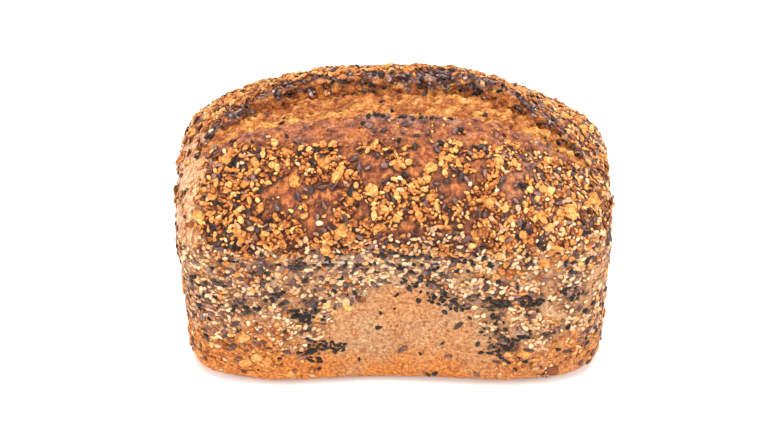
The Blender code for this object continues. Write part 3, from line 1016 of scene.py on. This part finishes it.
def seed_axes(up, on_wall, draw):
    """A seed's own axes: tilted a little off the crust, turned by chance, and lying level for some."""
    lying = draw.normal(0.0, 0.45) + (math.pi if draw.random() < 0.5 else 0.0)
    if on_wall and draw.random() < LYING_SHARE:
        turn = lying
    else:
        turn = draw.uniform(0.0, 2.0 * math.pi)
    up = up + draw.normal(0.0, TILT_WALL if on_wall else TILT_DOME, 3)
    up = up / np.linalg.norm(up)
    level = np.cross((0.0, 0.0, 1.0), up) if abs(up[2]) < 0.9 else np.cross((0.0, 1.0, 0.0), up)
    level = level / np.linalg.norm(level)
    rise = np.cross(up, level)
    along = level * math.cos(turn) + rise * math.sin(turn)
    return np.stack([along, np.cross(up, along), up])


def seed_tone(place, scorch, count, draw):
    """Tones of one seed's points: darker where it is scorched, to the left, and on the foot."""
    tone = draw.normal(SEED_TONE, SEED_TONE_SPREAD) - 0.25 * scorch - 0.05 * smooth(-place[0] / 0.030)
    tone = tone - (0.10 if place[2] < FOOT_HEIGHT else 0.0)
    return np.clip(tone + draw.normal(0.0, 0.10, count), 0.0, 1.0)


def lay_seeds(kind, spots, draw):
    """One mesh of all the seeds of a kind, each with its own size, turn, tilt and tone."""
    size, form = SEED_KINDS[kind]
    shapes = [shape_arrays(SHAPES[form](draw)) for _ in range(VARIANTS)]
    burnt = regions(np.array([place for place, _ in spots]))["burnt"]
    all_points, all_faces, tones, skirts, rounded = [], [], [], [], []
    first = 0
    for (place, up), scorch in zip(spots, burnt):
        points, faces = shapes[draw.integers(VARIANTS)]
        own = np.array(size) * np.clip(draw.normal(1.0, 0.22), 0.55, 1.4) * draw.uniform(0.82, 1.18, 3)
        on_wall = place[2] < RIM_HEIGHT
        axes = seed_axes(up, on_wall, draw)
        height = own[2] * (RAISE_WALL if on_wall else RAISE_DOME)
        all_points.append((points * own) @ axes + place + axes[2] * height)
        all_faces.append(faces + first)
        tones.append(seed_tone(place, scorch, len(points), draw))
        # How dark each point's lower rim is: partly toasting where the seed meets the crust, partly
        # painted shade
        skirts.append(smooth((0.26 - points[:, 2]) / 0.46))
        rounded += [form == "drop"] * len(faces)
        first += len(points)
    mesh = bpy.data.meshes.new(kind)
    mesh.from_pydata(np.concatenate(all_points).tolist(), [], np.concatenate(all_faces).tolist())
    mesh.polygons.foreach_set("use_smooth", rounded)
    for name, values in (("tone", tones), ("skirt", skirts)):
        store(mesh, name, np.concatenate(values))
    piece = bpy.data.objects.new(kind, mesh)
    bpy.context.collection.objects.link(piece)
    return piece


# Colours of the seeds from dark to light, each with its tone
GOLD = (
    (0.05, (0.060, 0.014, 0.005)),
    (0.32, (0.31, 0.078, 0.014)),
    (0.62, (0.64, 0.225, 0.042)),
    (0.98, (0.86, 0.480, 0.170)),
)
PALE = ((0.1, (0.18, 0.066, 0.026)), (0.45, (0.48, 0.235, 0.100)), (0.90, (0.78, 0.53, 0.31)))
BLACK = ((0.2, (0.006, 0.004, 0.004)), (0.6, (0.017, 0.012, 0.011)), (0.95, (0.075, 0.052, 0.046)))
BROWN = ((0.15, (0.028, 0.010, 0.008)), (0.5, (0.095, 0.034, 0.026)), (0.9, (0.26, 0.125, 0.095)))
SCORCHED = ((0.1, (0.030, 0.017, 0.017)), (0.5, (0.175, 0.105, 0.100)), (0.9, (0.54, 0.40, 0.36)))
OAT = ((0.1, (0.20, 0.048, 0.010)), (0.55, (0.64, 0.225, 0.042)), (1.0, (0.86, 0.47, 0.160)))
# Each kind of seed with its colours, roughness, shine, depth of wrinkles in metres, and slot
SEED_LOOKS = {
    "oat_flakes": (OAT, 0.50, 0.22, 0.00070, "pale_seed"),
    "cracked_grain": (GOLD, 0.42, 0.25, 0.00060, "pale_seed"),
    "linseed": (BROWN, 0.30, 0.4, 0.00015, "dark_seed"),
    "toasted_sesame": (GOLD, 0.38, 0.25, 0.00035, "pale_seed"),
    "pale_sesame": (PALE, 0.45, 0.3, 0.00022, "pale_seed"),
    "black_sesame": (BLACK, 0.42, 0.2, 0.00025, "dark_seed"),
    "grain_crumbs": (GOLD, 0.45, 0.28, 0.00025, "pale_seed"),
    "pale_crumbs": (PALE, 0.55, 0.3, 0.00025, "pale_seed"),
    "burnt_crumbs": (SCORCHED, 0.55, 0.3, 0.00040, "dark_seed"),
}

# Studio: the floor, the brightness of the room, and the place, size and watts of each square light
FLOOR_SIZE = 6.0
FLOOR_DROP = 0.0004  # keeps the floor clear of the loaf's flat base
FLOOR_COLOUR = (0.93, 0.925, 0.92, 1.0)
ROOM_BRIGHTNESS = 0.80
LIGHTS = {
    "overhead": ((0.02, 0.05, 1.1), 0.8, 13.5),
    "front": ((-0.15, -1.2, 0.7), 0.7, 8.0),
    "left": ((-1.2, -0.3, 0.5), 0.6, 8.5),
    "right": ((1.2, -0.3, 0.5), 0.6, 9.0),
}
LIGHT_TARGET = (0.0, 0.0, 0.05)


def make_floor():
    """A plain pale floor."""
    bpy.ops.mesh.primitive_plane_add(size=FLOOR_SIZE, location=(0.0, 0.0, -FLOOR_DROP))
    floor = bpy.context.object
    floor.name = "floor"
    r = Recipe("floor", 0.9)
    floor.data.materials.append(r.finish(FLOOR_COLOUR))


def add_light(name, place, size, power):
    """A square soft light that faces the loaf."""
    light = bpy.data.lights.new(name, "AREA")
    light.size = size
    light.energy = power
    lamp = bpy.data.objects.new(name, light)
    lamp.location = place
    facing = Vector(LIGHT_TARGET) - Vector(place)
    lamp.rotation_euler = facing.to_track_quat("-Z", "Y").to_euler()
    bpy.context.collection.objects.link(lamp)


def make_light():
    """Studio light: a white room, a large soft light overhead, weaker ones in front and at the sides."""
    world = bpy.data.worlds.new("studio")
    world.use_nodes = True
    background = world.node_tree.nodes["Background"]
    background.inputs["Color"].default_value = (1.0, 1.0, 1.0, 1.0)
    background.inputs["Strength"].default_value = ROOM_BRIGHTNESS
    bpy.context.scene.world = world
    for name, (place, size, power) in LIGHTS.items():
        add_light(name, place, size, power)
    bpy.context.scene.view_settings.view_transform = "Standard"


def make_camera():
    """The photograph's view of the loaf."""
    data = bpy.data.cameras.new("camera")
    data.lens = LENS
    camera = bpy.data.objects.new("camera", data)
    away = Vector((0.0, -math.cos(ELEVATION), math.sin(ELEVATION)))
    camera.location = AIM + away * DISTANCE
    camera.rotation_euler = (math.pi / 2.0 - ELEVATION, 0.0, 0.0)
    bpy.context.collection.objects.link(camera)
    bpy.context.scene.camera = camera


def main():
    """Makes the loaf, its seeds and the studio."""
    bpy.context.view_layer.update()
    make_camera()
    draw = np.random.default_rng(SEED)
    crust, points, faces, normals = make_crust()
    chosen = choose_seeds(points, faces, normals, draw)
    store(crust.data, "near_seed", near_seeds(points, chosen))
    crust.data.materials.append(crust_material())
    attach(crust, "root")
    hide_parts("rye_loaf")
    for kind, spots in chosen.items():
        stops, roughness, shine, wrinkle, slot = SEED_LOOKS[kind]
        piece = lay_seeds(kind, spots, draw)
        piece.data.materials.append(seed_material(kind, stops, roughness, shine, wrinkle))
        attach(piece, "root")
    make_floor()
    make_light()


main()
